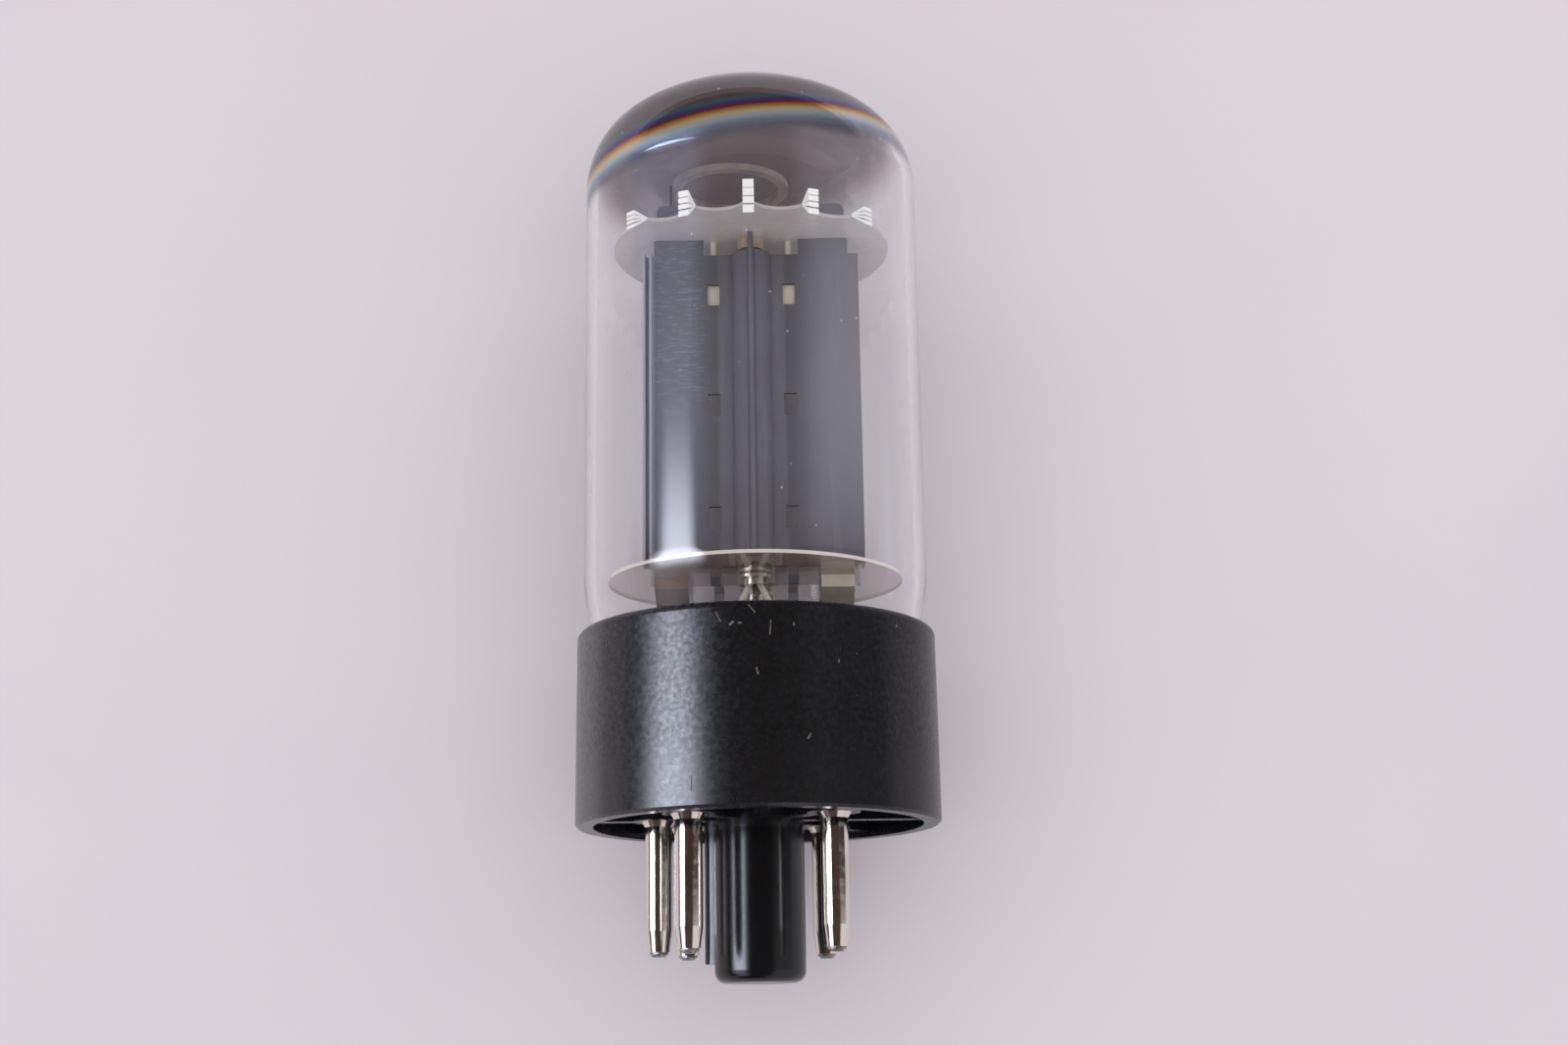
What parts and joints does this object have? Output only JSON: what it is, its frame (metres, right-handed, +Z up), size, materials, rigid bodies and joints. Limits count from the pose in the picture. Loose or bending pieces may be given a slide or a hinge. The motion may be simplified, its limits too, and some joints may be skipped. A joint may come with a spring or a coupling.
{
  "type": "rectifier tube",
  "caption": "Octal-based glass vacuum rectifier tube with two flat anodes, mica spacers, getter mirror and keyed spigot, lying on its side.",
  "frame": {"origin": "middle of the footprint, on the surface that the tube lies on", "axes": "+Y from the spigot towards the dome, within a degree of the tube's axis; +Z up, out of the front anode's face; +X across the anodes"},
  "size_m": [0.032, 0.0828, 0.0321],
  "materials": {
    "black_phenolic": "satin moulded, worn",
    "base_cement": "dull",
    "pin_plating": "bright nickel plating over brass",
    "solder": "dull tin solder",
    "bulb_glass": "clear, faintly warm",
    "stem_glass": "clear",
    "getter_mirror": "dark mirror film with rainbow edge",
    "mica": "cloudy, layered",
    "clear_mica": "clear, glossy",
    "carbonised_nickel": "dark satin",
    "bright_nickel": "bright",
    "heater_coating": "white, matte",
    "brown_ceramic": "matte"
  },
  "bodies": {
    "root": {"base_shell": "black_phenolic", "base_cement": "base_cement", "contact_pin_1": "pin_plating", "contact_pin_2": "pin_plating", "contact_pin_4": "pin_plating", "contact_pin_6": "pin_plating", "contact_pin_8": "pin_plating", "pin_solder": "solder", "glass_bulb": "bulb_glass", "getter_film": "getter_mirror", "glass_stem": "stem_glass", "anode_lead_front": "bright_nickel", "anode_lead_rear": "bright_nickel", "heater_lead": "bright_nickel", "cathode_lead": "bright_nickel", "support_wire_front": "bright_nickel", "support_wire_rear": "bright_nickel", "lower_mica": "clear_mica", "upper_mica": "mica", "front_anode_outer_sheet": "carbonised_nickel", "front_anode_inner_sheet": "carbonised_nickel", "rear_anode_inner_sheet": "carbonised_nickel", "rear_anode_outer_sheet": "carbonised_nickel", "front_spine": "carbonised_nickel", "rear_spine": "carbonised_nickel", "front_posts": "bright_nickel", "rear_posts": "bright_nickel", "front_left_leg": "bright_nickel", "front_right_leg": "bright_nickel", "rear_left_leg": "bright_nickel", "rear_right_leg": "bright_nickel", "front_cathode": "bright_nickel", "rear_cathode": "bright_nickel", "front_heater": "heater_coating", "rear_heater": "heater_coating", "cathode_bushes": "brown_ceramic", "cathode_eyelets": "bright_nickel", "cathode_ribbon": "bright_nickel", "left_heater_bar": "bright_nickel", "right_heater_bar": "bright_nickel", "getter_ring": "bright_nickel", "getter_support": "bright_nickel"}
  },
  "joints": []
}
